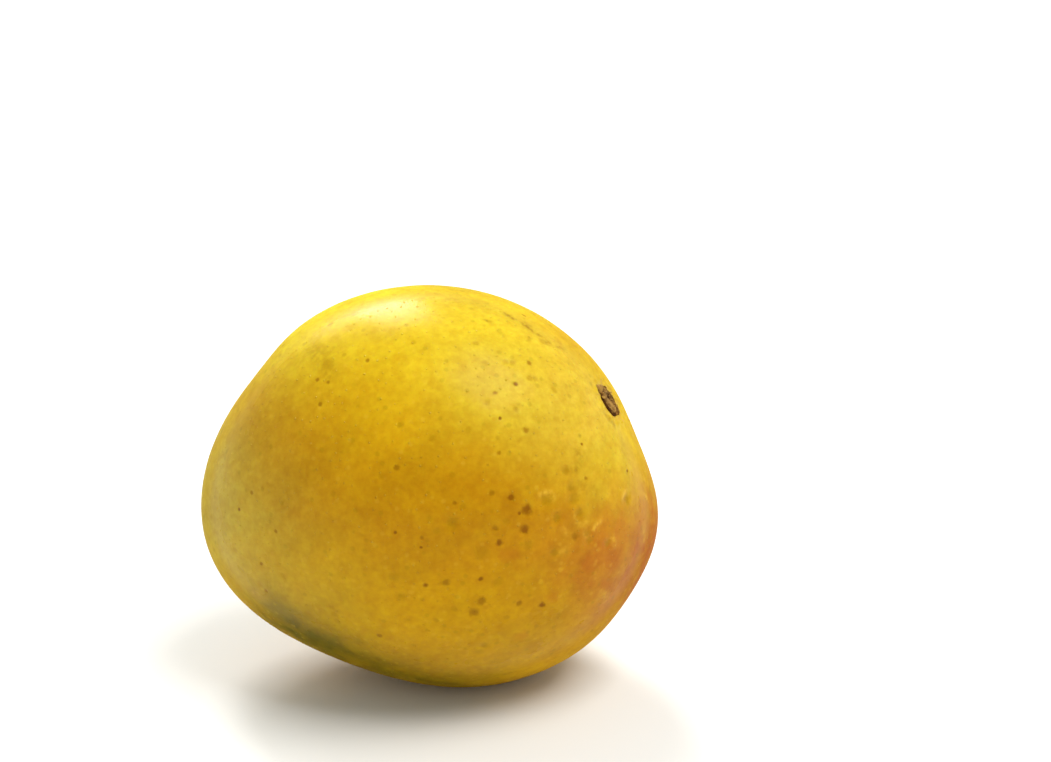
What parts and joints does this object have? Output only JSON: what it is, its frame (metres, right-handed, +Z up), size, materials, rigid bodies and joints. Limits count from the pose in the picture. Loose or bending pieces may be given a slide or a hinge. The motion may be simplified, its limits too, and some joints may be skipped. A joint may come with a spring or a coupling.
{
  "type": "mango",
  "caption": "Whole ripe round mango, yellow with an orange blush, lying on its belly, with the corky scar where its stalk broke off.",
  "frame": {"origin": "under the middle of the fruit, on the surface that its flat spot rests on", "axes": "+X towards the stalk end, +Y towards the far cheek, +Z up through the back of the fruit"},
  "size_m": [0.0922, 0.0696, 0.0813],
  "materials": {
    "mango_skin": "waxy semi-gloss fruit skin",
    "corky_scar": "dry cork and torn wood fibre"
  },
  "bodies": {
    "root": {"fruit": "mango_skin", "stem_scar": "corky_scar"}
  },
  "joints": []
}
